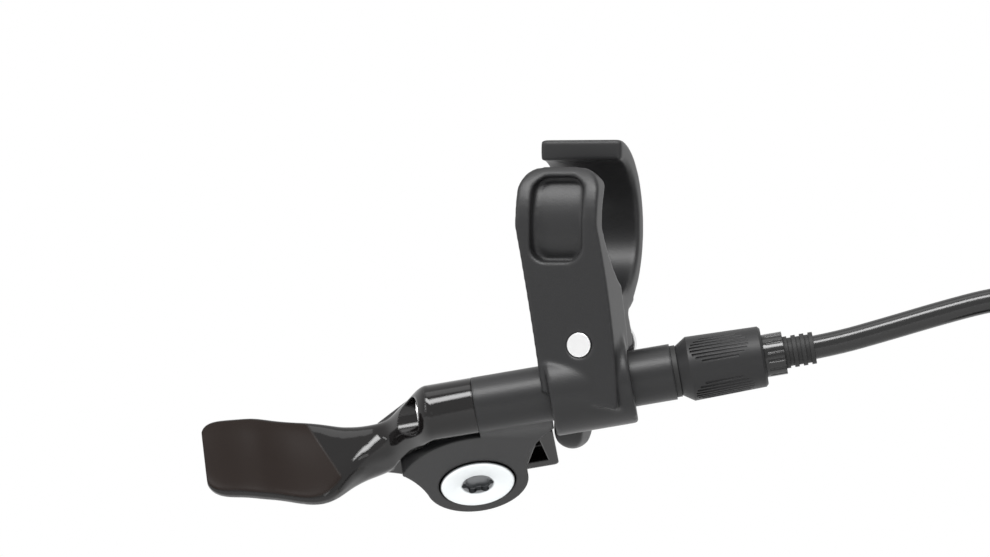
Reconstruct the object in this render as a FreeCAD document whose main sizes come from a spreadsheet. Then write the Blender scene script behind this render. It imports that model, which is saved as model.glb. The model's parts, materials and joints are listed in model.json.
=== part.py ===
import FreeCAD, Part

# Dropper post remote lever, in millimetres.
# Origin: on the handlebar's axis, midway along the clamp. x runs along the bar, y away from the rider, z up.
# The lever's own frame has its origin on the pivot axis, in the plane of the tube's axis:
# local x runs along the tube, local y from the pivot to the tube, local z out of the plate.

import math
import os

from FreeCAD import Placement, Rotation, Vector

doc = FreeCAD.newDocument("remote_lever")
sheet = doc.addObject("Spreadsheet::Sheet", "Sizes")


# Driving dimensions

DIMENSIONS = {
    # bar clamp
    "bar_radius": 11.1,
    "clamp_width": 14.0,
    "rear_wall": 4.0,
    "front_wall": 3.5,
    "rear_top_angle": 41.0,
    "rear_corner": 4.2,
    "pocket_width": 8.8,
    "pocket_top": 8.2,
    "pocket_bottom": -5.8,
    "pocket_depth": 2.0,
    "pocket_corner": 2.6,
    "strap_depth": 9.5,
    "jaw_gap": 1.6,
    "lug_depth": 7.0,
    "toe_width": 4.8,
    "toe_offset": -5.3,
    "toe_drop": 10.7,
    # clamp bolt, an M4 cap screw, its drop counted from the bar's surface
    "bolt_radius": 2.0,
    "bolt_hole_clearance": 0.3,
    "bolt_x": 4.05,
    "bolt_drop": 8.4,
    "bolt_head_radius": 3.5,
    "bolt_head_height": 4.0,
    "bolt_socket_width": 3.0,
    "bolt_socket_depth": 2.2,
    "washer_radius": 4.5,
    "washer_thickness": 0.8,
    # boss and tube: the boss lies below the bar's surface and behind the rider's face
    "boss_radius": 7.3,
    "boss_length": 13.7,
    "boss_x": 4.1,
    "boss_inset": 6.9,
    "boss_drop": 15.2,
    "boss_slit": 1.2,
    "tube_radius": 4.65,
    "tube_overhang_left": 12.5,
    "tube_overhang_right": 7.0,
    "yaw_angle": 15.5,
    "pitch_angle": 9.7,
    "plate_angle": 55.0,
    "cable_bore": 1.3,
    "fit_clearance": 0.02,
    # pivot and plate
    "pull_radius": 17.0,
    "pivot_setback": 21.5,
    "plate_thickness": 3.0,
    "plate_end_radius": 8.6,
    "wing_drop": 3.6,
    "wing_angle": 150.0,
    "side_gap": 0.3,
    "sweep_gap": 0.4,
    "pivot_radius": 3.0,
    "pivot_clearance": 0.02,
    "pivot_head_radius": 6.25,
    "pivot_head_height": 1.7,
    "pivot_head_recess": 1.2,
    "pivot_socket_radius": 2.7,
    "pivot_socket_depth": 1.2,
    # bearing
    "bearing_radius": 6.5,
    "bearing_width": 5.0,
    "bearing_wall": 1.0,
    "ball_radius": 0.75,
    "ball_count": 11,
    "cage_thickness": 0.5,
    "shield_thickness": 0.3,
    # nut
    "nut_flange_radius": 4.4,
    "nut_flange_height": 1.0,
    "nut_width": 7.0,
    "nut_height": 3.0,
    # lever
    "lever_front": 0.7,
    "hub_radius": 8.0,
    "hub_back_wall": 1.0,
    "lip_radius": 5.6,
    "rest_gap": 0.05,
    "tail_reach": 13.9,
    "tail_bottom": -3.4,
    "tail_top": 7.0,
    "tail_rib": 1.6,
    "tail_pocket_depth": 3.2,
    "head_bore_radius": 3.1,
    "head_seat": -3.0,
    # cable
    "cable_radius": 0.6,
    "cable_head_radius": 2.2,
    "cable_head_length": 4.5,
    "housing_radius": 2.0,
    # barrel adjuster
    "ring_thickness": 0.9,
    "ring_radius": 4.3,
    "stem_radius": 2.95,
    "stem_clearance": 0.05,
    "stem_grip": 8.8,
    "knob_length": 14.3,
    "knob_radius": 5.35,
    "knob_end_radius": 5.05,
    "knob_nose_radius": 4.1,
    "knob_nose_length": 1.9,
    "sleeve_radius": 3.4,
    "collar_length": 3.4,
    "collar_radius": 3.55,
    "ferrule_length": 5.0,
    "ferrule_radius": 2.65,
    "ferrule_nose_radius": 1.7,
    "ferrule_nose_length": 5.0,
    "ferrule_depth": 3.4,
    "adjuster_travel": 3.2,
    # put-away coil and the housing's far end
    "coil_x": 98.0,
    "coil_y": 15.0,
    "coil_z": -40.0,
    "coil_radius": 22.0,
    "turn_pitch": 4.6,
    "tie_thickness": 1.0,
    "tie_width": 9.0,
    "far_run": 24.0,
    "far_ferrule_length": 12.0,
    "far_ferrule_overlap": 2.0,
}

for row, (alias, value) in enumerate(DIMENSIONS.items(), start=1):
    sheet.set(f"A{row}", alias)
    sheet.set(f"B{row}", str(value))
    sheet.setAlias(f"B{row}", alias)
doc.recompute()


def size(alias):
    return float(sheet.get(alias))


# Frames

YAW = math.radians(size("yaw_angle"))
PITCH = math.radians(size("pitch_angle"))
PLATE_TILT = math.radians(size("plate_angle"))

along_tube = Vector(math.cos(PITCH) * math.cos(YAW), math.cos(PITCH) * math.sin(YAW), math.sin(PITCH))
level_away = Vector(-math.sin(YAW), math.cos(YAW), 0)
above_tube = along_tube.cross(level_away)
to_tube = above_tube * math.cos(PLATE_TILT) - level_away * math.sin(PLATE_TILT)
out_of_plate = along_tube.cross(to_tube)

bar_radius = size("bar_radius")
rear_radius = bar_radius + size("rear_wall")
bolt_height = -(bar_radius + size("bolt_drop"))
boss_height = -(bar_radius + size("boss_drop"))
boss_centre = Vector(size("boss_x"), size("boss_inset") - rear_radius, boss_height)
pivot_point = boss_centre - along_tube * size("pivot_setback") - to_tube * size("pull_radius")

LEVER = Placement(pivot_point, Rotation(along_tube, to_tube, out_of_plate, "XYZ"))

# Local places along the tube, as expressions and as numbers

BOSS_LEFT = "Sizes.pivot_setback - Sizes.boss_length / 2"
BOSS_RIGHT = "Sizes.pivot_setback + Sizes.boss_length / 2"
TUBE_LEFT = f"{BOSS_LEFT} - Sizes.tube_overhang_left"
TUBE_RIGHT = f"{BOSS_RIGHT} + Sizes.tube_overhang_right"
KNOB_LEFT = f"{TUBE_RIGHT} + Sizes.ring_thickness"
KNOB_RIGHT = f"{KNOB_LEFT} + Sizes.knob_length"
COLLAR_RIGHT = f"{KNOB_RIGHT} + Sizes.collar_length"
FERRULE_RIGHT = f"{COLLAR_RIGHT} + Sizes.ferrule_length"
HOUSING_END = f"{FERRULE_RIGHT} - Sizes.ferrule_depth"
STEM_END = f"{TUBE_RIGHT} - Sizes.stem_grip - Sizes.adjuster_travel"

boss_left = size("pivot_setback") - size("boss_length") / 2
boss_right = size("pivot_setback") + size("boss_length") / 2
tube_left = boss_left - size("tube_overhang_left")
tube_right = boss_right + size("tube_overhang_right")
knob_left = tube_right + size("ring_thickness")
knob_right = knob_left + size("knob_length")
collar_right = knob_right + size("collar_length")
ferrule_right = collar_right + size("ferrule_length")
housing_end = ferrule_right - size("ferrule_depth")

# Local heights on the pivot axis: the lever's front face, the plate's two faces, the bearing's back

LEVER_FRONT = size("lever_front")
plate_back = LEVER_FRONT + size("side_gap")
plate_front = plate_back + size("plate_thickness")
bearing_back = LEVER_FRONT - size("bearing_width")
hub_back = bearing_back - size("hub_back_wall")

PLATE_BACK = f"{LEVER_FRONT} + Sizes.side_gap"
PLATE_FRONT = f"{PLATE_BACK} + Sizes.plate_thickness"
BEARING_BACK = f"{LEVER_FRONT} - Sizes.bearing_width"
HEAD_SEAT = f"{PLATE_FRONT} - Sizes.pivot_head_recess"

OVERCUT = 1.0


# Building blocks

def rod(name, radius, start, end, along="z"):
    """A cylinder on a local axis, z for the pivot or x for the tube."""
    body = doc.addObject("Part::Cylinder", name)
    body.setExpression("Radius", radius)
    body.setExpression("Height", f"({end}) - ({start})")
    lay_along(body, start, along)
    return body


def taper(name, first_radius, last_radius, start, end, along="z"):
    """A cone frustum on a local axis."""
    body = doc.addObject("Part::Cone", name)
    body.setExpression("Radius1", first_radius)
    body.setExpression("Radius2", last_radius)
    body.setExpression("Height", f"({end}) - ({start})")
    lay_along(body, start, along)
    return body


def lay_along(body, start, along):
    if along == "x":
        body.Placement = Placement(Vector(0, 0, 0), Rotation(Vector(0, 1, 0), 90))
        body.setExpression("Placement.Base.y", "Sizes.pull_radius")
    body.setExpression(f"Placement.Base.{along}", start)


def prism(name, across_flats, start, end):
    """A hexagonal bar on the local z axis."""
    body = doc.addObject("Part::Prism", name)
    body.Polygon = 6
    body.setExpression("Circumradius", f"({across_flats}) / sqrt(3)")
    body.setExpression("Height", f"({end}) - ({start})")
    body.setExpression("Placement.Base.z", start)
    return body


def fuse(name, parts):
    body = doc.addObject("Part::MultiFuse", name)
    body.Shapes = parts
    return body


def cut(name, base, tools):
    body = doc.addObject("Part::Cut", name)
    body.Base = base
    body.Tool = tools[0] if len(tools) == 1 else fuse(f"{name}_tools", tools)
    return body


def feature(name, shape):
    body = doc.addObject("Part::Feature", name)
    body.Shape = shape
    return body


nodes = []


def node(body, label, place=None):
    """Name a finished sub-part and put it in its place."""
    body.Label = label
    if place is not None:
        body.Placement = place
    nodes.append(body)
    return body


def solid_of(shape):
    """The one solid of a shape, with faces that lie on one surface joined."""
    return shape.removeSplitter().Solids[0]


def line(first, last):
    return Part.LineSegment(first, last).toShape()


def arc(first, middle, last):
    return Part.Arc(first, middle, last).toShape()


def extruded(edges, direction):
    return Part.Face(Part.Wire(edges)).extrude(direction)


def on_circle(radius, degrees, height=0.0):
    angle = math.radians(degrees)
    return Vector(radius * math.cos(angle), radius * math.sin(angle), height)


# Clamp bracket: rear jaw, strap and boss

cutter_span = 4 * rear_radius
half_clamp = size("clamp_width") / 2
strap_back = size("strap_depth") - rear_radius
bar_tool = Part.makeCylinder(bar_radius, cutter_span, Vector(-cutter_span / 2, 0, 0), Vector(1, 0, 0))
boss_start = boss_centre - along_tube * (size("boss_length") / 2)


def rider_side(radius, degrees):
    """A point of the clamp's section, its angle counted up from the rider's side."""
    angle = math.radians(degrees)
    return Vector(0, -radius * math.cos(angle), radius * math.sin(angle))


def tube_axis_at(distance):
    return boss_centre + along_tube * distance


def rear_section():
    """Section of the rear jaw and strap across the bar."""
    top = size("rear_top_angle")
    foot = boss_height - size("boss_radius") * 0.75
    bar_meet = -math.sqrt(bar_radius ** 2 - strap_back ** 2)
    bar_angle = math.degrees(math.atan2(bar_meet, -strap_back))
    outer_top = rider_side(rear_radius, top)
    inner_top = rider_side(bar_radius, top)
    front = Vector(0, -rear_radius, 0)
    front_foot = Vector(0, -rear_radius, foot)
    back_foot = Vector(0, strap_back, foot)
    back_top = Vector(0, strap_back, bar_meet)
    return [
        arc(outer_top, rider_side(rear_radius, top / 2), front),
        line(front, front_foot),
        line(front_foot, back_foot),
        line(back_foot, back_top),
        arc(back_top, rider_side(bar_radius, (bar_angle + top) / 2), inner_top),
        line(inner_top, outer_top),
    ]


def rear_outline():
    """Outline of the rear jaw and strap as the rider sees it, from jaw to boss."""
    top = rear_radius * math.sin(math.radians(size("rear_top_angle")))
    corner = size("rear_corner")
    bend = corner * (1 - math.sqrt(0.5))
    left_foot = tube_axis_at(-size("boss_length") / 2)
    right_foot = tube_axis_at(size("boss_length") / 2)
    shoulder = -bar_radius * 0.5
    left = Vector(-half_clamp, 0, 0)
    right = Vector(half_clamp, 0, 0)
    left_end = Vector(left_foot.x, 0, left_foot.z)
    right_end = Vector(right_foot.x, 0, right_foot.z - size("boss_radius") * 0.7)
    left_bend = Vector((left.x * 2 + left_end.x) / 3, 0, shoulder * 1.5)
    right_bend = Vector((right.x + right_end.x) / 2, 0, shoulder * 1.8)
    return [
        line(left, Vector(-half_clamp, 0, top - corner)),
        arc(Vector(-half_clamp, 0, top - corner), Vector(bend - half_clamp, 0, top - bend),
            Vector(corner - half_clamp, 0, top)),
        line(Vector(corner - half_clamp, 0, top), Vector(half_clamp - corner, 0, top)),
        arc(Vector(half_clamp - corner, 0, top), Vector(half_clamp - bend, 0, top - bend),
            Vector(half_clamp, 0, top - corner)),
        line(Vector(half_clamp, 0, top - corner), right),
        arc(right, right_bend, right_end),
        line(right_end, left_end),
        arc(left_end, left_bend, left),
    ]


def rounded_pocket():
    """The recess in the rear jaw's face: a rounded rectangle down to a floor round the bar."""
    width = size("pocket_width")
    low = size("pocket_bottom")
    height = size("pocket_top") - low
    block = Part.makeBox(width, rear_radius, height, Vector(-width / 2, -rear_radius - OVERCUT, low))
    upright = [edge for edge in block.Edges if abs(edge.tangentAt(0).y) > 0.9]
    block = block.makeFillet(size("pocket_corner"), upright)
    floor_radius = rear_radius - size("pocket_depth")
    floor = Part.makeCylinder(floor_radius, cutter_span, Vector(-cutter_span / 2, 0, 0), Vector(1, 0, 0))
    return block.cut(floor)


def boss_slit():
    """The slit in the boss's far wall that lets it close on the tube."""
    width = size("boss_slit")
    slit = Part.makeBox(cutter_span, size("boss_radius") * 2, width, Vector(-cutter_span / 2, 0, -width / 2))
    slit.Placement = Placement(boss_centre, Rotation(along_tube, level_away, above_tube, "XYZ"))
    return slit


def clamp_bracket():
    block = extruded(rear_section(), Vector(cutter_span, 0, 0))
    block.translate(Vector(-cutter_span / 2, 0, 0))
    sides = extruded(rear_outline(), Vector(0, cutter_span, 0))
    sides.translate(Vector(0, -cutter_span / 2, 0))
    strap = block.common(sides)
    boss = Part.makeCylinder(size("boss_radius"), size("boss_length"), boss_start, along_tube)
    body = strap.fuse(boss).cut(rounded_pocket()).cut(boss_slit())
    tube_hole = size("tube_radius") + size("fit_clearance")
    hole_start = boss_centre - along_tube * size("boss_length")
    hole_length = size("boss_length") * 2
    body = body.cut(Part.makeCylinder(tube_hole, hole_length, hole_start, along_tube))
    bolt_hole = Part.makeCylinder(size("bolt_radius") + size("fit_clearance"), cutter_span / 2,
                                  Vector(size("bolt_x"), -cutter_span / 2, bolt_height), Vector(0, 1, 0))
    return solid_of(body.cut(bolt_hole).cut(bar_tool))


node(feature("ClampBracket", clamp_bracket()), "clamp_bracket")


# Front jaw: arc over the top and the far side, lug behind the strap, toe behind the boss

def far_side(radius, angle):
    """A point of the clamp's section, its angle in radians up from the far side."""
    return Vector(0, radius * math.cos(angle), radius * math.sin(angle))


def front_section():
    """Section of the front jaw across the bar, from its top end round to the toe."""
    outer = bar_radius + size("front_wall")
    near = strap_back + size("jaw_gap")
    far = near + size("lug_depth")
    toe_end = boss_height - size("toe_drop")
    toe_round = size("lug_depth") / 2
    near_bar = Vector(0, near, -math.sqrt(bar_radius ** 2 - near ** 2))
    far_rim = Vector(0, far, -math.sqrt(outer ** 2 - far ** 2))
    far_angle = math.atan2(far_rim.z, far_rim.y)
    near_angle = math.atan2(near_bar.z, near_bar.y)
    top_angle = math.pi / 2
    outer_middle = (top_angle + far_angle) / 2
    inner_middle = (top_angle + near_angle) / 2
    return [
        arc(Vector(0, 0, outer), far_side(outer, outer_middle), far_rim),
        line(far_rim, Vector(0, far, toe_end + toe_round)),
        arc(Vector(0, far, toe_end + toe_round), Vector(0, near + toe_round, toe_end),
            Vector(0, near, toe_end + toe_round)),
        line(Vector(0, near, toe_end + toe_round), near_bar),
        arc(near_bar, far_side(bar_radius, inner_middle), Vector(0, 0, bar_radius)),
        line(Vector(0, 0, bar_radius), Vector(0, 0, outer)),
    ]


def front_outline():
    """Outline of the front jaw seen along y: full width at the bar, narrow at the toe."""
    top = bar_radius + size("front_wall") + OVERCUT
    waist = bolt_height - size("washer_radius")
    toe_end = boss_height - size("toe_drop")
    toe_half = size("toe_width") / 2
    toe_x = size("boss_x") + size("toe_offset")
    right = max(half_clamp, size("bolt_x") + size("washer_radius"))
    toe_side = Vector(toe_x + toe_half, 0, toe_end + toe_half)
    return [
        line(Vector(-half_clamp, 0, top), Vector(half_clamp, 0, top)),
        line(Vector(half_clamp, 0, top), Vector(half_clamp, 0, -bar_radius)),
        line(Vector(half_clamp, 0, -bar_radius), Vector(right, 0, bolt_height)),
        line(Vector(right, 0, bolt_height), Vector(size("bolt_x"), 0, waist)),
        line(Vector(size("bolt_x"), 0, waist), toe_side),
        arc(toe_side, Vector(toe_x, 0, toe_end), Vector(toe_x - toe_half, 0, toe_end + toe_half)),
        line(Vector(toe_x - toe_half, 0, toe_end + toe_half), Vector(toe_x - toe_half, 0, waist)),
        line(Vector(toe_x - toe_half, 0, waist), Vector(-half_clamp, 0, -bar_radius)),
        line(Vector(-half_clamp, 0, -bar_radius), Vector(-half_clamp, 0, top)),
    ]


def front_jaw():
    block = extruded(front_section(), Vector(cutter_span, 0, 0))
    block.translate(Vector(-cutter_span / 2, 0, 0))
    sides = extruded(front_outline(), Vector(0, cutter_span, 0))
    sides.translate(Vector(0, -cutter_span / 2, 0))
    around_boss = Part.makeCylinder(size("boss_radius") + size("fit_clearance"), size("boss_length") * 3,
                                    boss_centre - along_tube * (size("boss_length") * 1.5), along_tube)
    hole_radius = size("bolt_radius") + size("bolt_hole_clearance")
    hole_start = Vector(size("bolt_x"), -cutter_span / 2, bolt_height)
    bolt_hole = Part.makeCylinder(hole_radius, cutter_span, hole_start, Vector(0, 1, 0))
    return solid_of(block.common(sides).cut(around_boss).cut(bolt_hole))


node(feature("FrontJaw", front_jaw()), "front_jaw")


# Clamp bolt and washer, along y through the jaw's lug into the strap

bolt_start = Vector(size("bolt_x"), -rear_radius, bolt_height)
CLAMP_SCREW = Placement(bolt_start, Rotation(Vector(1, 0, 0), -90))
LUG_END = "Sizes.strap_depth + Sizes.jaw_gap + Sizes.lug_depth"
WASHER_END = f"{LUG_END} + Sizes.washer_thickness"
HEAD_END = f"{WASHER_END} + Sizes.bolt_head_height"

screw = fuse("ScrewBody", [
    rod("ScrewShank", "Sizes.bolt_radius", "0", HEAD_END),
    rod("ScrewHead", "Sizes.bolt_head_radius", WASHER_END, HEAD_END),
])
socket = prism("ScrewSocket", "Sizes.bolt_socket_width", f"{HEAD_END} - Sizes.bolt_socket_depth", HEAD_END)
node(cut("ClampBolt", screw, [socket]), "clamp_bolt", CLAMP_SCREW)

node(cut("ClampWasher", rod("WasherDisc", "Sizes.washer_radius", LUG_END, WASHER_END), [
    rod("WasherHole", "Sizes.bolt_radius + Sizes.bolt_hole_clearance", LUG_END, WASHER_END),
]), "clamp_washer", CLAMP_SCREW)


# Lever body: the tube and, in one piece with it, the plate that carries the pivot

END_LEFT_ANGLE = 188.0
END_RIGHT_ANGLE = 6.0
TIP_TURN = 5.0
TIP_DROP = 0.7
FLANK_HOLLOW = 0.5
SIDE_HOLLOW = 0.7


def plate_outline():
    """Outline of the plate: a round end on the pivot, a wing over the lever and a foot on the tube."""
    pull = size("pull_radius")
    end = size("plate_end_radius")
    wing = pull - size("wing_drop")
    foot_left = tube_left
    foot_right = boss_left - size("side_gap")
    corner = Vector(foot_left, math.sqrt(wing ** 2 - foot_left ** 2), 0)
    corner_angle = math.degrees(math.atan2(corner.y, corner.x))
    wing_end = on_circle(wing, size("wing_angle"))
    tip = on_circle(wing - TIP_DROP / 7, size("wing_angle") + TIP_TURN * 0.7)
    tip_end = on_circle(wing - TIP_DROP, size("wing_angle") + TIP_TURN)
    end_left = on_circle(end, END_LEFT_ANGLE)
    end_right = on_circle(end, END_RIGHT_ANGLE)
    flank = (tip_end + end_left) / 2 + Vector(FLANK_HOLLOW, -FLANK_HOLLOW / 2, 0)
    foot_low = Vector(foot_right, pull - size("tube_radius"), 0)
    side = Vector((end_right.x * 2 + foot_low.x) / 3 - SIDE_HOLLOW, (end_right.y + foot_low.y) / 2, 0)
    return [
        line(Vector(foot_left, pull, 0), corner),
        arc(corner, on_circle(wing, (corner_angle + size("wing_angle")) / 2), wing_end),
        arc(wing_end, tip, tip_end),
        arc(tip_end, flank, end_left),
        arc(end_left, on_circle(end, 270), end_right),
        arc(end_right, side, foot_low),
        line(foot_low, Vector(foot_right, pull, 0)),
        line(Vector(foot_right, pull, 0), Vector(foot_left, pull, 0)),
    ]


plate = extruded(plate_outline(), Vector(0, 0, size("plate_thickness")))
plate_body = feature("PlateBody", plate.translated(Vector(0, 0, plate_back)))

lever_body = cut("LeverBody", fuse("LeverBodySolid", [
    rod("Tube", "Sizes.tube_radius", TUBE_LEFT, TUBE_RIGHT, "x"),
    plate_body,
    rod("PivotSeat", "Sizes.pivot_radius + Sizes.bearing_wall", str(LEVER_FRONT), PLATE_FRONT),
]), [
    rod("CableBore", "Sizes.cable_bore", f"{TUBE_LEFT} - {OVERCUT}", f"{TUBE_RIGHT} + {OVERCUT}", "x"),
    rod("StemBore", "Sizes.stem_radius + Sizes.stem_clearance",
        f"{STEM_END} - Sizes.side_gap", f"{TUBE_RIGHT} + {OVERCUT}", "x"),
    rod("PivotBore", "Sizes.pivot_radius + Sizes.pivot_clearance", "0", f"{PLATE_FRONT} + {OVERCUT}"),
    rod("HeadRecess", "Sizes.pivot_head_radius + Sizes.side_gap", HEAD_SEAT, f"{PLATE_FRONT} + {OVERCUT}"),
])
node(lever_body, "lever_body", LEVER)


# Pivot bolt, nut and bearing

HEAD_TOP = f"{HEAD_SEAT} + Sizes.pivot_head_height"
NUT_TOP = BEARING_BACK
NUT_FLANGE = f"{BEARING_BACK} - Sizes.nut_flange_height"
NUT_END = f"{NUT_FLANGE} - Sizes.nut_height"
HEAD_EDGE = 0.3
LOBES = 6
LOBE_SHARE = 0.27
MOUTH_SHARE = 0.3


def lobed_socket():
    """Six-lobe socket sunk in the pivot bolt's head, under a round mouth."""
    depth = size("pivot_socket_depth")
    top = plate_front - size("pivot_head_recess") + size("pivot_head_height")
    reach = size("pivot_socket_radius")
    lobe = reach * LOBE_SHARE
    mouth = depth * MOUTH_SHARE
    socket = Part.makeCylinder(reach - lobe * 0.75, depth, Vector(0, 0, top - depth))
    for count in range(LOBES):
        place = on_circle(reach - lobe, count * 360 / LOBES, top - depth)
        socket = socket.fuse(Part.makeCylinder(lobe, depth, place))
    return socket.fuse(Part.makeCone(reach - mouth, reach + mouth, mouth, Vector(0, 0, top - mouth)))


pivot_bolt = cut("PivotBolt", fuse("PivotBoltSolid", [
    rod("PivotShank", "Sizes.pivot_radius", NUT_END, HEAD_SEAT),
    rod("PivotHead", "Sizes.pivot_head_radius", HEAD_SEAT, f"{HEAD_TOP} - {HEAD_EDGE}"),
    taper("PivotHeadEdge", "Sizes.pivot_head_radius", f"Sizes.pivot_head_radius - {HEAD_EDGE}",
          f"{HEAD_TOP} - {HEAD_EDGE}", HEAD_TOP),
]), [feature("PivotSocket", lobed_socket())])
node(pivot_bolt, "pivot_bolt", LEVER)

pivot_nut = cut("PivotNut", fuse("PivotNutSolid", [
    rod("NutFlange", "Sizes.nut_flange_radius", NUT_FLANGE, NUT_TOP),
    prism("NutHex", "Sizes.nut_width", NUT_END, NUT_FLANGE),
]), [rod("NutThread", "Sizes.pivot_radius + Sizes.pivot_clearance", NUT_END, NUT_TOP)])
node(pivot_nut, "pivot_nut", LEVER)

OUTER_RACE = "Sizes.bearing_radius - Sizes.bearing_wall"
INNER_RACE = "Sizes.pivot_radius + Sizes.bearing_wall"
bearing_middle = LEVER_FRONT - size("bearing_width") / 2
ball_circle = (size("bearing_radius") + size("pivot_radius")) / 2
inner_race = size("pivot_radius") + size("bearing_wall")
outer_race = size("bearing_radius") - size("bearing_wall")
BALL_PLAY = 0.02


def ball_groove():
    """The torus that both races are ground to, a little larger than the balls."""
    return Part.makeTorus(ball_circle, size("ball_radius") + BALL_PLAY, Vector(0, 0, bearing_middle))


node(cut("BearingOuterRing", rod("OuterRingDisc", "Sizes.bearing_radius", BEARING_BACK, str(LEVER_FRONT)), [
    rod("OuterRingHole", OUTER_RACE, BEARING_BACK, str(LEVER_FRONT)),
    feature("OuterGroove", ball_groove()),
]), "bearing_outer_ring", LEVER)

node(cut("BearingInnerRing", rod("InnerRingDisc", INNER_RACE, BEARING_BACK, str(LEVER_FRONT)), [
    rod("InnerRingHole", "Sizes.pivot_radius + Sizes.pivot_clearance", BEARING_BACK, str(LEVER_FRONT)),
    feature("InnerGroove", ball_groove()),
]), "bearing_inner_ring", LEVER)


def ball_places():
    count = int(size("ball_count"))
    return [on_circle(ball_circle, index * 360 / count, bearing_middle) for index in range(count)]


balls = [Part.makeSphere(size("ball_radius"), place) for place in ball_places()]
node(feature("BearingBalls", Part.makeCompound(balls)), "bearing_balls", LEVER)


def bearing_cage():
    """A flat ring between the races with a pocket round each ball."""
    half_width = size("cage_thickness") / 2
    height = size("ball_radius") * 2 + size("cage_thickness")
    base = Vector(0, 0, bearing_middle - height / 2)
    ring = Part.makeCylinder(ball_circle + half_width, height, base)
    ring = ring.cut(Part.makeCylinder(ball_circle - half_width, height, base))
    for place in ball_places():
        ring = ring.cut(Part.makeSphere(size("ball_radius") + BALL_PLAY, place))
    return ring.Solids[0]


node(feature("BearingCage", bearing_cage()), "bearing_cage", LEVER)


def bearing_shields():
    """Two thin rings that close the bearing, held by the outer ring and clear of the inner one."""
    thickness = size("shield_thickness")
    shields = []
    for low in (LEVER_FRONT - thickness * 2, LEVER_FRONT - size("bearing_width") + thickness):
        disc = Part.makeCylinder(outer_race, thickness, Vector(0, 0, low))
        hole = Part.makeCylinder(inner_race + size("fit_clearance") * 5, thickness, Vector(0, 0, low))
        shields.append(disc.cut(hole).Solids[0])
    return Part.makeCompound(shields)


node(feature("BearingShields", bearing_shields()), "bearing_shields", LEVER)


# Lever: paddle, neck and block lofted in one sweep, with hub, web and tail in the plane of the bearing

# Each station: place along the tube, far and near side, thumb face and underside, both counted from the
# tube's axis, and hollow of the thumb face
LEVER_STATIONS = [
    (-43.5, -4.7, 5.8, -0.5, -2.3, 0.1),
    (-42.8, -5.9, 6.9, -0.5, -2.9, 0.3),
    (-41.0, -6.8, 7.7, -0.8, -3.8, 0.5),
    (-37.5, -7.2, 7.9, -1.7, -5.0, 0.7),
    (-32.5, -6.9, 8.6, -3.0, -6.4, 0.8),
    (-27.5, -6.2, 9.6, -4.2, -7.8, 0.8),
    (-24.5, -5.8, 9.2, -4.8, -8.8, 0.6),
    (-22.0, -5.4, 7.4, -5.4, -10.2, 0.4),
    (-19.8, -5.2, 5.0, -5.8, -12.2, 0.3),
    (-17.5, -5.2, 3.0, -6.1, -14.1, 0.2),
    (-14.7, -5.3, 1.6, -6.1, -15.2, 0.1),
    (-12.2, -5.2, 1.5, -4.4, -13.8, 0.0),
    (-9.9, -4.9, 2.4, -1.0, -10.5, 0.0),
    (-7.7, -4.7, 3.8, 2.4, -7.0, 0.0),
]
PADDLE_SQUARENESS = 3.4
BLOCK_SQUARENESS = 2.0
SECTION_POINTS = 24
BLOCK_START = -5.7
NECK = LEVER_STATIONS[-4]
HUB_MEET_ANGLE = 225.0
WEB_HOLLOW = 1.4


def lever_section(place, far, near, top, bottom, hollow, squareness):
    """A rounded, slightly dished section of the lever across the tube's direction."""
    points = []
    for index in range(SECTION_POINTS):
        angle = 2 * math.pi * index / SECTION_POINTS
        across = math.copysign(abs(math.cos(angle)) ** (2 / squareness), math.cos(angle))
        up = math.copysign(abs(math.sin(angle)) ** (2 / squareness), math.sin(angle))
        height = size("pull_radius") + (top + bottom) / 2 + up * (top - bottom) / 2
        if up > 0:
            height -= hollow * (1 - across ** 2) * up
        points.append(Vector(place, height, (far + near) / 2 + across * (near - far) / 2))
    curve = Part.BSplineCurve()
    curve.interpolate(points, PeriodicFlag=True)
    return Part.Wire(curve.toShape())


def lever_arm():
    """Paddle and neck, ending in a section as round as the block."""
    sections = []
    first = LEVER_STATIONS[0][0]
    for station in LEVER_STATIONS:
        blend = (station[0] - first) / (BLOCK_START - first)
        squareness = PADDLE_SQUARENESS + (BLOCK_SQUARENESS - PADDLE_SQUARENESS) * blend ** 3
        sections.append(lever_section(*station, squareness))
    radius = size("tube_radius") - size("rest_gap") * 2
    block_end = (BLOCK_START + OVERCUT, -radius, radius, radius, -radius, 0)
    sections.append(lever_section(*block_end, BLOCK_SQUARENESS))
    return Part.makeLoft(sections, True, False)


def lever_web():
    """Web between hub, neck and block, in the plane of the bearing."""
    right = tube_left - size("rest_gap")
    hub = size("hub_radius")
    pull = size("pull_radius")
    neck, _, _, neck_top, neck_bottom, _ = NECK
    neck_low = Vector(neck, pull + neck_bottom + OVERCUT, 0)
    neck_high = Vector(neck, pull + neck_top - OVERCUT * 2, 0)
    hub_left = on_circle(hub, HUB_MEET_ANGLE)
    hollow = Vector(0, WEB_HOLLOW, 0)
    return extruded([
        line(Vector(right, pull, 0), Vector(right, 0, 0)),
        line(Vector(right, 0, 0), hub_left),
        arc(hub_left, (hub_left + neck_low) / 2 + hollow, neck_low),
        line(neck_low, neck_high),
        line(neck_high, Vector(BLOCK_START, pull, 0)),
        line(Vector(BLOCK_START, pull, 0), Vector(right, pull, 0)),
    ], Vector(0, 0, LEVER_FRONT - hub_back)).translated(Vector(0, 0, hub_back))


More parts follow.
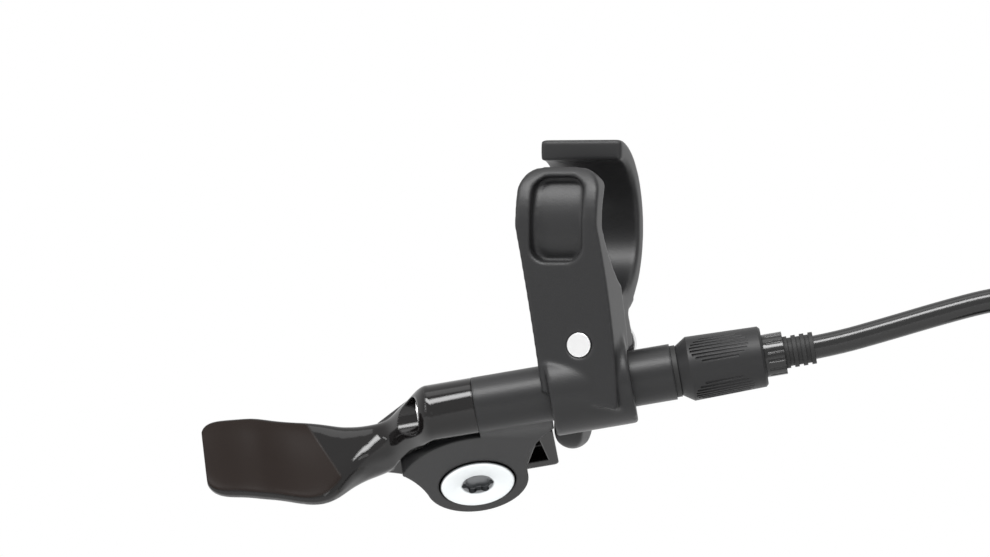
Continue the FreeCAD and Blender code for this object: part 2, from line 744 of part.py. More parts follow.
def lever_tail():
    """The arm past the pivot that meets the tube at the end of the travel, with its pocket."""
    reach = size("tail_reach")
    low = size("tail_bottom")
    top = size("tail_top")
    rib = size("tail_rib")
    hub = size("hub_radius")
    thickness = LEVER_FRONT - hub_back
    start = size("bearing_radius") + rib / 2
    body = Part.makeBox(reach - start, top - low, thickness, Vector(start, low, hub_back))
    upright = [edge for edge in body.Edges if abs(edge.tangentAt(0).z) > 0.9]
    body = body.makeFillet(rib / 2, [edge for edge in upright if edge.Vertexes[0].X > start + 1])
    pocket = extruded([
        line(Vector(hub + rib / 2, low + rib, 0), Vector(reach - rib, low + rib, 0)),
        line(Vector(reach - rib, low + rib, 0), Vector(reach - rib * 1.6, top - rib, 0)),
        line(Vector(reach - rib * 1.6, top - rib, 0), Vector(hub + rib / 2, low + rib, 0)),
    ], Vector(0, 0, thickness)).translated(Vector(0, 0, LEVER_FRONT - size("tail_pocket_depth")))
    return body.cut(pocket)


LEVER_BLOCK_END = f"{TUBE_LEFT} - Sizes.rest_gap"
SWEEP = "Sizes.pull_radius - Sizes.wing_drop + Sizes.sweep_gap"
HUB_BACK = f"{BEARING_BACK} - Sizes.hub_back_wall"
lever_body_solid = fuse("LeverSolid", [
    feature("LeverArm", lever_arm()),
    rod("LeverBlock", "Sizes.tube_radius", str(BLOCK_START), LEVER_BLOCK_END, "x"),
    feature("LeverWeb", lever_web()),
    rod("LeverHub", "Sizes.hub_radius", HUB_BACK, str(LEVER_FRONT)),
    feature("LeverTail", lever_tail()),
])
lever = cut("Lever", lever_body_solid, [
    rod("BearingSeat", "Sizes.bearing_radius", BEARING_BACK, str(LEVER_FRONT)),
    rod("BearingLip", "Sizes.lip_radius", f"{HUB_BACK} - {OVERCUT}", BEARING_BACK),
    rod("PlateSweep", SWEEP, str(LEVER_FRONT), f"{PLATE_FRONT} + 10"),
    rod("WireBore", "Sizes.cable_bore", "Sizes.head_seat", f"{LEVER_BLOCK_END} + {OVERCUT}", "x"),
    rod("HeadBore", "Sizes.head_bore_radius", str(NECK[0]), "Sizes.head_seat", "x"),
])
node(lever, "lever", LEVER)


# Inner cable: the head with the wire in the lever, and the wire in the tube

node(fuse("CableHead", [
    rod("HeadBarrel", "Sizes.cable_head_radius",
        "Sizes.head_seat - Sizes.cable_head_length", "Sizes.head_seat", "x"),
    rod("HeadWire", "Sizes.cable_radius",
        "Sizes.head_seat - Sizes.cable_head_length / 2", LEVER_BLOCK_END, "x"),
]), "cable_head", LEVER)

node(fuse("InnerCable", [
    rod("TubeWire", "Sizes.cable_radius", TUBE_LEFT, KNOB_RIGHT, "x"),
    rod("FerruleWire", "Sizes.cable_radius",
        f"{KNOB_RIGHT} - {OVERCUT}", f"{HOUSING_END} - Sizes.rest_gap", "x"),
]), "inner_cable", LEVER)


# Barrel adjuster: stem, knob, ring and collar

NOSE_START = f"{COLLAR_RIGHT} - Sizes.ferrule_nose_length"
NOSE_HOLE = "Sizes.ferrule_nose_radius + Sizes.fit_clearance"
KNOB_SHOULDER = f"{KNOB_LEFT} + Sizes.knob_nose_length"
KNOB_EDGE = 0.4

node(cut("AdjusterScrew", fuse("AdjusterScrewSolid", [
    rod("Stem", "Sizes.stem_radius", STEM_END, f"{KNOB_LEFT} + {OVERCUT}", "x"),
    rod("Sleeve", "Sizes.sleeve_radius", KNOB_LEFT, KNOB_RIGHT, "x"),
]), [
    rod("StemHole", "Sizes.cable_bore", STEM_END, KNOB_RIGHT, "x"),
    rod("NoseSeat", NOSE_HOLE, NOSE_START, KNOB_RIGHT, "x"),
]), "adjuster_screw", LEVER)

node(cut("AdjusterRing", rod("RingDisc", "Sizes.ring_radius", TUBE_RIGHT, KNOB_LEFT, "x"), [
    rod("RingHole", "Sizes.stem_radius + Sizes.fit_clearance", TUBE_RIGHT, KNOB_LEFT, "x"),
]), "adjuster_o_ring", LEVER)

GRIP_PATCHES = 4
RIDGES = 8
RIDGE_RADIUS = 0.22
RIDGE_STEP = 7.0


def grip_grooves():
    """Fine grooves along the knob in lens-shaped patches, longest at the middle of each patch."""
    middle = knob_left + size("knob_length") * 0.5
    full = size("knob_length") * 0.68
    depth_radius = (size("knob_radius") + size("knob_end_radius")) / 2 + RIDGE_RADIUS * 0.25
    grooves = []
    for patch in range(GRIP_PATCHES):
        for ridge in range(RIDGES):
            offset = ridge - (RIDGES - 1) / 2
            degrees = 360 / GRIP_PATCHES * patch + offset * RIDGE_STEP
            length = full * math.sqrt(1 - (offset / (RIDGES / 2 + 0.5)) ** 2)
            around = on_circle(depth_radius, degrees)
            start = Vector(middle - length / 2, size("pull_radius") + around.x, around.y)
            grooves.append(Part.makeCylinder(RIDGE_RADIUS, length, start, Vector(1, 0, 0)))
    return Part.makeCompound(grooves)


node(cut("AdjusterKnob", fuse("KnobSolid", [
    taper("KnobNose", "Sizes.knob_nose_radius", "Sizes.knob_radius", KNOB_LEFT, KNOB_SHOULDER, "x"),
    taper("KnobGrip", "Sizes.knob_radius", "Sizes.knob_end_radius",
          KNOB_SHOULDER, f"{KNOB_RIGHT} - {KNOB_EDGE}", "x"),
    taper("KnobRim", "Sizes.knob_end_radius", f"Sizes.knob_end_radius - {KNOB_EDGE}",
          f"{KNOB_RIGHT} - {KNOB_EDGE}", KNOB_RIGHT, "x"),
]), [
    rod("KnobHole", "Sizes.sleeve_radius + Sizes.fit_clearance", KNOB_LEFT, KNOB_RIGHT, "x"),
    feature("GripGrooves", grip_grooves()),
]), "adjuster_knob", LEVER)

COLLAR_RIBS = 14
COLLAR_GROOVE = 0.3


def collar_grooves():
    grooves = []
    for rib in range(COLLAR_RIBS):
        around = on_circle(size("collar_radius") + COLLAR_GROOVE / 3, rib * 360 / COLLAR_RIBS)
        start = Vector(knob_right + COLLAR_GROOVE * 2, size("pull_radius") + around.x, around.y)
        grooves.append(Part.makeCylinder(COLLAR_GROOVE, size("collar_length"), start, Vector(1, 0, 0)))
    return Part.makeCompound(grooves)


node(cut("AdjusterCollar", rod("CollarDisc", "Sizes.collar_radius", KNOB_RIGHT, COLLAR_RIGHT, "x"), [
    rod("CollarHole", NOSE_HOLE, KNOB_RIGHT, COLLAR_RIGHT, "x"),
    feature("CollarGrooves", collar_grooves()),
]), "adjuster_collar", LEVER)


# Ferrule: nose in the adjuster, ringed body on the housing

FERRULE_RINGS = 4
FERRULE_VALLEY = 0.3

ferrule_parts = [
    rod("FerruleNose", "Sizes.ferrule_nose_radius", NOSE_START, f"{COLLAR_RIGHT} + {OVERCUT}", "x"),
    rod("FerruleBody", f"Sizes.ferrule_radius - {FERRULE_VALLEY}", COLLAR_RIGHT, FERRULE_RIGHT, "x"),
]
for ring in range(FERRULE_RINGS):
    ring_start = f"{COLLAR_RIGHT} + {ring * 2} * Sizes.ferrule_length / {FERRULE_RINGS * 2 - 1}"
    ring_end = f"{COLLAR_RIGHT} + {ring * 2 + 1} * Sizes.ferrule_length / {FERRULE_RINGS * 2 - 1}"
    ferrule_parts.append(rod(f"FerruleRing{ring}", "Sizes.ferrule_radius", ring_start, ring_end, "x"))
node(cut("HousingFerrule", fuse("FerruleSolid", ferrule_parts), [
    rod("FerruleWireHole", "Sizes.cable_radius + Sizes.fit_clearance * 10", NOSE_START, FERRULE_RIGHT, "x"),
    rod("FerruleBore", "Sizes.housing_radius + Sizes.fit_clearance", HOUSING_END, FERRULE_RIGHT, "x"),
]), "housing_ferrule", LEVER)


# Cable housing: a free run from the ferrule to the put-away coil

COIL_CENTRE = Vector(size("coil_x"), size("coil_y"), size("coil_z"))
ROUTE = [
    Vector(51.9, 5.0, -16.7),
    Vector(60.0, 7.3, -14.2),
    Vector(68.0, 9.5, -12.0),
    Vector(76.5, 11.2, -11.0),
    Vector(85.5, 12.3, -11.8),
    Vector(94.4, 12.7, -14.3),
]
FAR_END_ANGLE = -60.0


def rounded_route(points):
    """Straight runs joined by tangent arcs, each as large as its two runs allow."""
    edges = []
    radii = []
    position = points[0]
    for before, corner, after in zip(points, points[1:], points[2:]):
        into = (corner - before).normalize()
        out = (after - corner).normalize()
        turn = into.getAngle(out)
        shorter = min((corner - before).Length, (after - corner).Length)
        setback = 0.45 * shorter
        radius = setback / math.tan(turn / 2)
        radii.append(round(radius, 1))
        start = corner - into * setback
        end = corner + out * setback
        inward = (out - into).normalize()
        middle = corner + inward * (radius / math.cos(turn / 2) - radius)
        edges.append(line(position, start))
        edges.append(arc(start, middle, end))
        position = end
    edges.append(line(position, points[-1]))
    return Part.Wire(edges), radii


def tube_along(wire, radius):
    first = wire.Edges[0]
    direction = first.tangentAt(first.FirstParameter)
    circle = Part.Wire(Part.Circle(first.valueAt(first.FirstParameter), direction, radius).toShape())
    return wire.makePipeShell([circle], True, False)


def on_tube_axis(x):
    return LEVER.multVec(Vector(x, size("pull_radius"), 0))


STRAIGHT_EXIT = 3.0
route_points = [on_tube_axis(housing_end), on_tube_axis(ferrule_right + STRAIGHT_EXIT)] + ROUTE
route_wire, route_radii = rounded_route(route_points)
housing = tube_along(route_wire, size("housing_radius"))
expected = math.pi * size("housing_radius") ** 2 * route_wire.Length
print("housing run", round(route_wire.Length, 1), "radii", route_radii)
print("housing volume against its run", round(housing.Volume / expected, 4))
node(feature("CableHousing", housing), "cable_housing")


# The turns lie side by side in rows of two, three and two
row_height = size("turn_pitch") * math.sqrt(0.75)
bundle_half_width = size("turn_pitch") + size("housing_radius")
bundle_half_height = row_height + size("housing_radius")


def bundle_section(extra):
    """The outer shape of the coil's turns, seen along the cord, on the ring's right side."""
    ellipse = Part.Ellipse(Vector(0, 0, 0), bundle_half_width + extra, bundle_half_height + extra)
    section = Part.Wire(ellipse.toShape())
    section.rotate(Vector(0, 0, 0), Vector(0, 0, 1), 90)
    section.translate(COIL_CENTRE + Vector(size("coil_radius"), 0, 0))
    return Part.Face(section)


def coil():
    return bundle_section(0).revolve(COIL_CENTRE, Vector(0, 1, 0), 360)


def coil_tie():
    """A strap wrapped round the bundle on the ring's left side."""
    angle = math.degrees(size("tie_width") / size("coil_radius"))
    start = 180 - angle / 2
    outer = bundle_section(size("tie_thickness"))
    outer.rotate(COIL_CENTRE, Vector(0, 1, 0), start)
    inner = bundle_section(0)
    inner.rotate(COIL_CENTRE, Vector(0, 1, 0), start)
    band = outer.revolve(COIL_CENTRE, Vector(0, 1, 0), angle)
    return band.cut(inner.revolve(COIL_CENTRE, Vector(0, 1, 0), angle)).Solids[0]


node(feature("HousingCoil", coil().Solids[0]), "housing_coil")
node(feature("CoilTie", coil_tie()), "coil_tie")

far_angle = math.radians(FAR_END_ANGLE)
outer_turn = size("coil_radius") + row_height
last_turn = Vector(outer_turn * math.cos(far_angle), size("turn_pitch") / 2, outer_turn * math.sin(far_angle))
far_start = COIL_CENTRE + last_turn
far_direction = Vector(math.sin(far_angle), 0, -math.cos(far_angle))
far_end = far_start + far_direction * size("far_run")
tail = Part.makeCylinder(size("housing_radius"), size("far_run"), far_start, far_direction)
node(feature("HousingTail", tail), "housing_tail")


def far_ferrule():
    overlap = size("far_ferrule_overlap")
    start = far_end - far_direction * overlap
    body = Part.makeCylinder(size("ferrule_radius"), size("far_ferrule_length"), start, far_direction)
    return body.cut(Part.makeCylinder(size("housing_radius"), overlap, start, far_direction))


node(feature("FarFerrule", far_ferrule()), "far_ferrule")


# Check and export

doc.recompute()
for item in doc.Objects:
    if "Invalid" in item.State or "Error" in item.State:
        raise RuntimeError(f"{item.Name} failed: {item.State}")

os.makedirs("parts", exist_ok=True)
for body in nodes:
    if body.Shape.isNull() or not body.Shape.isValid() or not body.Shape.Solids:
        raise RuntimeError(f"{body.Label} has no valid solid")
    body.Shape.exportStep(f"parts/{body.Label}.step")
    print(body.Label, round(body.Shape.Volume, 1), len(body.Shape.Solids), "solids")
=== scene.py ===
import json
import math

import bpy
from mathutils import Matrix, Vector


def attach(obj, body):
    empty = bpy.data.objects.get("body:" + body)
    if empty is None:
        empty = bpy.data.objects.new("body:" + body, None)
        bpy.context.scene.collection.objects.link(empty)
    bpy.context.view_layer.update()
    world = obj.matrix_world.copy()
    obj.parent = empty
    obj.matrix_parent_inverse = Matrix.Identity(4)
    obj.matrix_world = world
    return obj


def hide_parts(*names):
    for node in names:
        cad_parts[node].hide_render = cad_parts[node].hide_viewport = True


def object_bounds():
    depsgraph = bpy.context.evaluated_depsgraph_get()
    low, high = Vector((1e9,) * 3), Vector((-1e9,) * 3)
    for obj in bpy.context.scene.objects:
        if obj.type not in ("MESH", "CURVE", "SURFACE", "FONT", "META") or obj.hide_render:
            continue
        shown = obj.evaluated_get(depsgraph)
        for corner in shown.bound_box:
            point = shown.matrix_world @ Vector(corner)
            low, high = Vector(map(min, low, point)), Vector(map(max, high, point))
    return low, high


# Dropper post remote lever, in metres, in the CAD frame:
# x along the handlebar, y away from the rider, z up, origin on the bar's axis midway along the clamp.

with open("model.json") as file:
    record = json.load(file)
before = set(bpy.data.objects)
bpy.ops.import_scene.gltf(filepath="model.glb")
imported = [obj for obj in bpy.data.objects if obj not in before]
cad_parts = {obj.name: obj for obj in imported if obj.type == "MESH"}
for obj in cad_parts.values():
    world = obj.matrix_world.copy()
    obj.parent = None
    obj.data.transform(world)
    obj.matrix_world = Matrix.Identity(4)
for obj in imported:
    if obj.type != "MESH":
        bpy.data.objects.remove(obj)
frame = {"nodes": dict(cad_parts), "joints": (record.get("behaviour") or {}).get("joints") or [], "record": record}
cad_low, cad_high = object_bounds()
nodes = frame["nodes"]
joints = {joint["name"]: joint for joint in frame["joints"]}
MM = 0.001

# The lever's own frame: along the tube, from the pivot to the tube, and out of the plate
pivot_point = Vector(joints["lever_pivot"]["pos_m"])
out_of_plate = Vector(joints["lever_pivot"]["axis"])
tube_end = Vector(joints["adjuster_spin"]["pos_m"])
along_tube = Vector(joints["adjuster_spin"]["axis"])
to_tube = out_of_plate.cross(along_tube)


# Materials, with edge, grain and depth in millimetres

BEVEL_SAMPLES = 4
GRAIN_DETAIL = 3.0
GRAIN_SPREAD = 0.06
SMOOTHEST = 0.02

POLISHED_COLOUR = (0.004, 0.0035, 0.0035)
POLISHED_ROUGHNESS = 0.05
POLISHED_SHEEN = 0.34
PANEL_COLOUR = (0.011, 0.0075, 0.0062)
PANEL_ROUGHNESS = 0.42
PANEL_SHEEN = 0.06
PANEL_END = -24.0 * MM
PANEL_BLUR = 0.3 * MM
PANEL_SLANT = 0.42
PANEL_EDGE_FACING = 0.82
PANEL_EDGE_SPREAD = 0.1

# Pivot bolt head: the metal's own bright colour on the top face, and painted shade, a dark colour, in the socket
# and down the sides below it
HEAD_TOP = 4.5 * MM
HEAD_FACE_DEPTH = 0.1 * MM
HEAD_PAINTED_SHADE_DEPTH = 0.25 * MM
HEAD_FACE_COLOUR = (0.76, 0.79, 0.80)
HEAD_PAINTED_SHADE_COLOUR = (0.16, 0.165, 0.17)

# Sockets of a colour mix
MIX_SHARE = 0
MIX_FIRST = 6
MIX_LAST = 7
MIX_RESULT = 2


def link(tree, source, output, target, socket):
    tree.links.new(source.outputs[output], target.inputs[socket])


def ramp(tree, source, low, high, first=0.0, last=1.0):
    """A value that goes from first to last while its source goes from low to high."""
    climb = tree.nodes.new("ShaderNodeMapRange")
    climb.inputs["From Min"].default_value = low
    climb.inputs["From Max"].default_value = high
    climb.inputs["To Min"].default_value = first
    climb.inputs["To Max"].default_value = last
    link(tree, source, "Value", climb, "Value")
    return climb


def combine(tree, operation, first, first_output, second, second_output):
    """One value out of two."""
    result = tree.nodes.new("ShaderNodeMath")
    result.operation = operation
    link(tree, first, first_output, result, 0)
    link(tree, second, second_output, result, 1)
    return result


def along(tree, source, output, direction):
    """How far a vector goes along a direction."""
    product = tree.nodes.new("ShaderNodeVectorMath")
    product.operation = "DOT_PRODUCT"
    product.inputs[1].default_value = direction
    link(tree, source, output, product, 0)
    return product


def reach_from_pivot(tree, direction):
    """How far a point of the surface lies from the pivot along a direction."""
    geometry = tree.nodes.new("ShaderNodeNewGeometry")
    offset = tree.nodes.new("ShaderNodeVectorMath")
    offset.operation = "SUBTRACT"
    offset.inputs[1].default_value = pivot_point
    link(tree, geometry, "Position", offset, 0)
    return along(tree, offset, "Vector", direction)


def two_tone(tree, share, output, first, last):
    """Colour the surface from first to last as the share goes from none to all."""
    tone = tree.nodes.new("ShaderNodeMix")
    tone.data_type = "RGBA"
    tone.inputs[MIX_FIRST].default_value = (*first, 1)
    tone.inputs[MIX_LAST].default_value = (*last, 1)
    link(tree, share, output, tone, MIX_SHARE)
    link(tree, tone, MIX_RESULT, tree.nodes["Principled BSDF"], "Base Color")


def add_grain(tree, shader, bevel, roughness, grain, depth):
    """Fine bumps and small changes of roughness all over."""
    place = tree.nodes.new("ShaderNodeTexCoord")
    noise = tree.nodes.new("ShaderNodeTexNoise")
    noise.inputs["Scale"].default_value = 1.0 / (grain * MM)
    noise.inputs["Detail"].default_value = GRAIN_DETAIL
    link(tree, place, "Object", noise, "Vector")
    bump = tree.nodes.new("ShaderNodeBump")
    bump.inputs["Strength"].default_value = 1.0
    bump.inputs["Distance"].default_value = depth * MM
    link(tree, noise, "Fac", bump, "Height")
    link(tree, bevel, "Normal", bump, "Normal")
    link(tree, bump, "Normal", shader, "Normal")
    spread = tree.nodes.new("ShaderNodeMapRange")
    spread.inputs["To Min"].default_value = max(roughness - GRAIN_SPREAD, SMOOTHEST)
    spread.inputs["To Max"].default_value = min(roughness + GRAIN_SPREAD, 1.0)
    link(tree, noise, "Fac", spread, "Value")
    link(tree, spread, "Result", shader, "Roughness")


def surface(name, colour, roughness, metallic=0.0, sheen=0.5, edge=0.25, grain=None, depth=0.0):
    """A finish with softly broken edges and, where wanted, a fine grain."""
    material = bpy.data.materials.new(name)
    material.use_nodes = True
    tree = material.node_tree
    shader = tree.nodes["Principled BSDF"]
    shader.inputs["Base Color"].default_value = (*colour, 1.0)
    shader.inputs["Roughness"].default_value = roughness
    shader.inputs["Metallic"].default_value = metallic
    shader.inputs["Specular IOR Level"].default_value = sheen
    bevel = tree.nodes.new("ShaderNodeBevel")
    bevel.samples = BEVEL_SAMPLES
    bevel.inputs["Radius"].default_value = edge * MM
    link(tree, bevel, "Normal", shader, "Normal")
    if grain:
        add_grain(tree, shader, bevel, roughness, grain, depth)
    return material


def lever_finish():
    """Polished black, with a matte panel on the thumb face of the paddle."""
    material = surface("gloss_black", POLISHED_COLOUR, POLISHED_ROUGHNESS, sheen=POLISHED_SHEEN, edge=0.45)
    tree = material.node_tree
    shader = tree.nodes["Principled BSDF"]
    geometry = tree.nodes.new("ShaderNodeNewGeometry")
    facing = along(tree, geometry, "Normal", to_tube)
    on_top = ramp(tree, facing, PANEL_EDGE_FACING, PANEL_EDGE_FACING + PANEL_EDGE_SPREAD)
    reach = reach_from_pivot(tree, along_tube - out_of_plate * PANEL_SLANT)
    outward = ramp(tree, reach, PANEL_END + PANEL_BLUR, PANEL_END - PANEL_BLUR)
    panel = combine(tree, "MULTIPLY", on_top, "Result", outward, "Result")
    two_tone(tree, panel, "Value", POLISHED_COLOUR, PANEL_COLOUR)
    rougher = ramp(tree, panel, 0.0, 1.0, POLISHED_ROUGHNESS, PANEL_ROUGHNESS)
    link(tree, rougher, "Result", shader, "Roughness")
    duller = ramp(tree, panel, 0.0, 1.0, POLISHED_SHEEN, PANEL_SHEEN)
    link(tree, duller, "Result", shader, "Specular IOR Level")
    return material


def bolt_head_finish():
    """A bright turned face, with painted shade, a dark colour, in the socket and down the sides."""
    material = surface("silver_alloy", HEAD_FACE_COLOUR, 0.32, metallic=1.0, edge=0.2, grain=0.4, depth=0.004)
    tree = material.node_tree
    height = reach_from_pivot(tree, out_of_plate)
    # Painted shade: the colour darkens from the top face down into the socket and the sides
    face = ramp(tree, height, HEAD_TOP - HEAD_PAINTED_SHADE_DEPTH, HEAD_TOP - HEAD_FACE_DEPTH)
    two_tone(tree, face, "Result", HEAD_PAINTED_SHADE_COLOUR, HEAD_FACE_COLOUR)
    return material


finishes = {
    "satin_black": surface("satin_black", (0.012, 0.012, 0.0125), 0.38, sheen=0.27, edge=0.6,
                           grain=0.25, depth=0.016),
    "gloss_black": lever_finish(),
    "silver_alloy": bolt_head_finish(),
    "bright_steel": surface("bright_steel", (0.75, 0.75, 0.75), 0.3, metallic=1.0),
    "dark_steel": surface("dark_steel", (0.10, 0.10, 0.10), 0.4, metallic=1.0),
    "dark_alloy": surface("dark_alloy", (0.02, 0.02, 0.021), 0.35, sheen=0.3),
    "bearing_steel": surface("bearing_steel", (0.6, 0.6, 0.62), 0.15, metallic=1.0, edge=0.05),
    "brass_cage": surface("brass_cage", (0.55, 0.40, 0.16), 0.3, metallic=1.0, edge=0.05),
    "seal_rubber": surface("seal_rubber", (0.010, 0.010, 0.010), 0.55, sheen=0.3, edge=0.2),
    "matte_knob": surface("matte_knob", (0.011, 0.011, 0.0115), 0.45, sheen=0.26, edge=0.15,
                          grain=0.2, depth=0.01),
    "gloss_plastic_black": surface("gloss_plastic_black", (0.006, 0.006, 0.006), 0.12, sheen=0.4),
    "boot_plastic": surface("boot_plastic", (0.012, 0.012, 0.012), 0.6, sheen=0.3, grain=0.3, depth=0.05),
    "housing_jacket": surface("housing_jacket", (0.007, 0.007, 0.007), 0.16, sheen=0.4,
                              grain=1.5, depth=0.006),
    "tie_fabric": surface("tie_fabric", (0.015, 0.015, 0.015), 0.9, sheen=0.2, grain=0.35, depth=0.25),
    "brass_ferrule": surface("brass_ferrule", (0.60, 0.45, 0.20), 0.25, metallic=1.0),
}


def dress(piece, slot_name):
    piece.data.materials.clear()
    piece.data.materials.append(finishes[slot_name])


for part in frame["record"]["subparts"]:
    dress(nodes[part["node"]], part["material_slot"])


# Smooth shading over shallow angles, with the true edges left sharp

WELD = 0.002 * MM
SHALLOW = math.radians(33)


def shading_group():
    group = bpy.data.node_groups.new("soft_shading", "GeometryNodeTree")
    group.interface.new_socket("Geometry", in_out="INPUT", socket_type="NodeSocketGeometry")
    group.interface.new_socket("Geometry", in_out="OUTPUT", socket_type="NodeSocketGeometry")
    source = group.nodes.new("NodeGroupInput")
    result = group.nodes.new("NodeGroupOutput")
    weld = group.nodes.new("GeometryNodeMergeByDistance")
    weld.inputs["Distance"].default_value = WELD
    faces = group.nodes.new("GeometryNodeSetShadeSmooth")
    faces.domain = "FACE"
    edges = group.nodes.new("GeometryNodeSetShadeSmooth")
    edges.domain = "EDGE"
    angle = group.nodes.new("GeometryNodeInputMeshEdgeAngle")
    shallow = group.nodes.new("FunctionNodeCompare")
    shallow.data_type = "FLOAT"
    shallow.operation = "LESS_THAN"
    shallow.inputs[1].default_value = SHALLOW
    link(group, source, 0, weld, "Geometry")
    link(group, weld, "Geometry", faces, "Geometry")
    link(group, faces, "Geometry", edges, "Geometry")
    link(group, angle, "Unsigned Angle", shallow, 0)
    link(group, shallow, "Result", edges, "Shade Smooth")
    link(group, edges, "Geometry", result, 0)
    return group


soft_shading = shading_group()
for piece in nodes.values():
    piece.modifiers.new("Shading", "NODES").node_group = soft_shading


# Rounded edges on the cast and machined pieces

SKIN_VOXEL = 0.3 * MM
SKIN_THINNING = 0.6
SMOOTHING = {"clamp_bracket": 16, "front_jaw": 30}


def soften(piece, passes):
    """Round every edge of a node a little, as blasting and anodising leave them."""
    remesh = piece.modifiers.new("Skin", "REMESH")
    remesh.mode = "VOXEL"
    remesh.voxel_size = SKIN_VOXEL
    remesh.use_smooth_shade = True
    smooth = piece.modifiers.new("Edges", "SMOOTH")
    smooth.factor = 0.5
    smooth.iterations = passes
    thin = piece.modifiers.new("Thin", "DECIMATE")
    thin.ratio = SKIN_THINNING


for cast_name, smooth_passes in SMOOTHING.items():
    soften(nodes[cast_name], smooth_passes)


# Cable housing: out of the ferrule, along the bar, then the length beyond the photo as a coil

CORD_DIAMETER = 4.0 * MM
CORD_ROUNDNESS = 5
CORD_STEPS = 6
EXIT_RUN = 20.2 * MM
STRAIGHT_RUN = 26.6 * MM
ROUTE = [
    Vector((51.9, 5.0, -16.7)) * MM,
    Vector((60.0, 7.3, -14.2)) * MM,
    Vector((68.0, 9.5, -12.0)) * MM,
    Vector((76.5, 11.2, -11.0)) * MM,
    Vector((85.5, 12.3, -11.8)) * MM,
    Vector((94.4, 12.7, -14.3)) * MM,
]
COIL_CENTRE = Vector((98, 15, -40)) * MM
COIL_RADIUS = 22.0 * MM
TURN_PITCH = 4.6 * MM
START_ANGLE = 98.0
END_ANGLE = -60.0
TURNS = 6
POINTS_A_TURN = 16
FIRST_MOVE = 345.0
MOVE_STEP = 32.0
MOVE_WIDTH = 50.0
TAIL_RUN = 24.0 * MM

# The seven lanes of the bundle's hexagon, across and outwards in pitches, in the order they are wound
ROW = math.sqrt(0.75)
LANES = [(-0.5, ROW), (-1.0, 0.0), (-0.5, -ROW), (0.5, -ROW), (0.0, 0.0), (1.0, 0.0), (0.5, ROW)]


def lane_at(turned):
    """Where in the bundle the cord lies after it has turned that many degrees."""
    across, outwards = LANES[0]
    for move, lane in enumerate(LANES[1:]):
        centre = 360.0 * move + FIRST_MOVE - MOVE_STEP * move
        share = min(max((turned - centre) / MOVE_WIDTH + 0.5, 0.0), 1.0)
        share = share * share * (3 - 2 * share)
        across += (lane[0] - LANES[move][0]) * share
        outwards += (lane[1] - LANES[move][1]) * share
    return across * TURN_PITCH, outwards * TURN_PITCH


def coil_point(turned):
    across, outwards = lane_at(turned)
    angle = math.radians(START_ANGLE - turned)
    reach = COIL_RADIUS + outwards
    return COIL_CENTRE + Vector((reach * math.cos(angle), across, reach * math.sin(angle)))


def cord_line():
    points = [tube_end + along_tube * EXIT_RUN, tube_end + along_tube * STRAIGHT_RUN, *ROUTE]
    total = START_ANGLE - END_ANGLE + 360.0 * TURNS
    steps = round(total / 360.0 * POINTS_A_TURN)
    points += [coil_point(total * step / steps) for step in range(1, steps + 1)]
    onward = Vector((math.sin(math.radians(END_ANGLE)), 0, -math.cos(math.radians(END_ANGLE))))
    last = points[-1]
    return points + [last + onward * TAIL_RUN * 0.5, last + onward * TAIL_RUN]


def round_cord(name, points, diameter):
    curve = bpy.data.curves.new(name, "CURVE")
    curve.dimensions = "3D"
    curve.bevel_depth = diameter / 2
    curve.bevel_resolution = CORD_ROUNDNESS
    curve.resolution_u = CORD_STEPS
    curve.use_fill_caps = True
    spline = curve.splines.new("NURBS")
    spline.points.add(len(points) - 1)
    for control, place in zip(spline.points, points):
        control.co = (*place, 1.0)
    spline.order_u = 3
    spline.use_endpoint_u = True
    piece = bpy.data.objects.new(name, curve)
    bpy.context.scene.collection.objects.link(piece)
    return piece


route = cord_line()
cord = round_cord("housing_cord", route, CORD_DIAMETER)
cord.data.materials.append(finishes["housing_jacket"])
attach(cord, "housing")
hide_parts("cable_housing", "housing_coil", "housing_tail")


# Floor, background and lamps

FLOOR_COLOUR = (0.88, 0.88, 0.88, 1.0)
FLOOR_ROUGHNESS = 0.9
FLOOR_HALF = 0.45
FLOOR_DROP = 0.03
WORLD_STRENGTH = 0.45

middle = (cad_low + cad_high) / 2

# Each lamp's place, power in watts, breadth and depth
LAMPS = {
    "key_strip": ((0.0, -0.55, 0.66), 12.0, 0.8, 0.26),
    "overhead": ((0.05, -0.05, 0.9), 1.6, 0.8, 0.4),
    "left_front": ((-0.75, -0.7, 0.3), 1.6, 0.08, 0.5),
    "right_front": ((0.8, -0.6, 0.3), 0.6, 0.08, 0.5),
    "low_front": ((0.1, -0.9, -0.25), 2.2, 0.5, 0.06),
}


def floor_finish():
    material = bpy.data.materials.new("studio_floor")
    material.use_nodes = True
    shader = material.node_tree.nodes["Principled BSDF"]
    shader.inputs["Base Color"].default_value = FLOOR_COLOUR
    shader.inputs["Roughness"].default_value = FLOOR_ROUGHNESS
    return material


def make_floor():
    mesh = bpy.data.meshes.new("studio_floor")
    low = cad_low.z - FLOOR_DROP
    corners = [(middle.x + a * FLOOR_HALF, middle.y + b * FLOOR_HALF, low)
               for a, b in ((-1, -1), (1, -1), (1, 1), (-1, 1))]
    mesh.from_pydata(corners, [], [(0, 1, 2, 3)])
    piece = bpy.data.objects.new("studio_floor", mesh)
    mesh.materials.append(floor_finish())
    bpy.context.scene.collection.objects.link(piece)


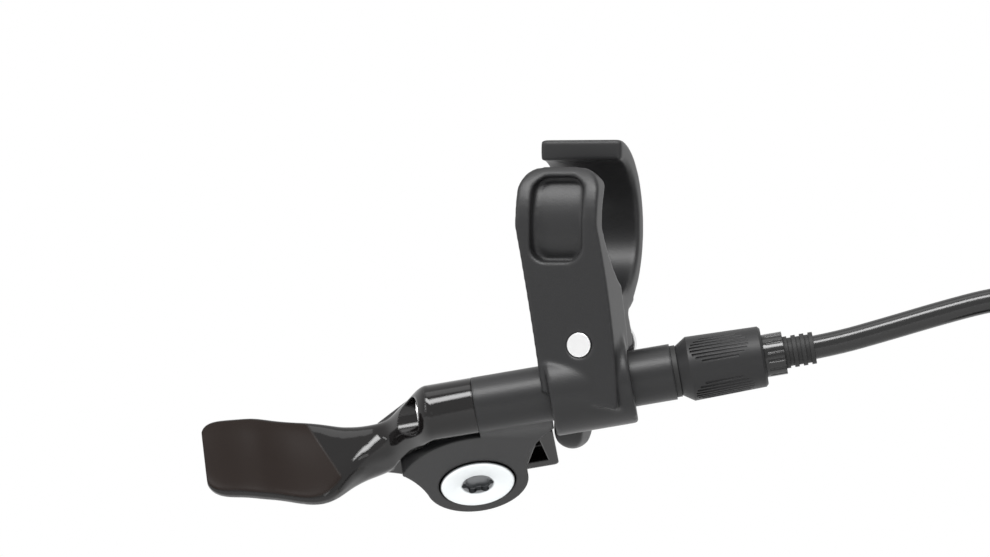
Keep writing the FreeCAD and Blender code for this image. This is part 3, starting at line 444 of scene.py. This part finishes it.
def make_world():
    """White to the camera, to reflections and through glass; softer as a light on the object."""
    world = bpy.data.worlds.new("studio")
    bpy.context.scene.world = world
    world.use_nodes = True
    tree = world.node_tree
    background = tree.nodes["Background"]
    background.inputs["Color"].default_value = (1, 1, 1, 1)
    path = tree.nodes.new("ShaderNodeLightPath")
    seen = combine(tree, "MAXIMUM", path, "Is Camera Ray", path, "Is Glossy Ray")
    shown = combine(tree, "MAXIMUM", seen, "Value", path, "Is Transmission Ray")
    strength = ramp(tree, shown, 0.0, 1.0, WORLD_STRENGTH, 1.0)
    link(tree, strength, "Result", background, "Strength")


def lamp(name, place, power, breadth, depth):
    data = bpy.data.lights.new(name, "AREA")
    data.energy = power
    data.shape = "RECTANGLE"
    data.size = breadth
    data.size_y = depth
    piece = bpy.data.objects.new(name, data)
    piece.location = place
    piece.rotation_euler = (middle - Vector(place)).to_track_quat("-Z", "Y").to_euler()
    bpy.context.scene.collection.objects.link(piece)


make_floor()
make_world()
for lamp_name, (place, power, breadth, depth) in LAMPS.items():
    lamp(lamp_name, place, power, breadth, depth)


# Camera: level, a little to the right of square on to the bar

VIEW_AZIMUTH = math.radians(17.0)
VIEW_DISTANCE = 1.0
PIXELS_PER_METRE = 6000.0
PICTURE_WIDTH = 990
PICTURE_HEIGHT = 557
ORIGIN_PIXEL = (580.5, 227.0)
SENSOR_WIDTH = 36.0

right = Vector((math.cos(VIEW_AZIMUTH), math.sin(VIEW_AZIMUTH), 0))
towards_rider = Vector((math.sin(VIEW_AZIMUTH), -math.cos(VIEW_AZIMUTH), 0))
target = (right * (PICTURE_WIDTH / 2 - ORIGIN_PIXEL[0])
          + Vector((0, 0, ORIGIN_PIXEL[1] - PICTURE_HEIGHT / 2))) / PIXELS_PER_METRE
camera_data = bpy.data.cameras.new("camera")
camera_data.sensor_width = SENSOR_WIDTH
camera_data.lens = SENSOR_WIDTH * PIXELS_PER_METRE * VIEW_DISTANCE / PICTURE_WIDTH
camera_data.clip_start = 0.1
camera_data.clip_end = 20.0
camera = bpy.data.objects.new("camera", camera_data)
camera.location = target + towards_rider * VIEW_DISTANCE
camera.rotation_euler = (math.radians(90), 0, VIEW_AZIMUTH)
bpy.context.scene.collection.objects.link(camera)
bpy.context.scene.camera = camera
bpy.context.scene.view_settings.view_transform = "Standard"
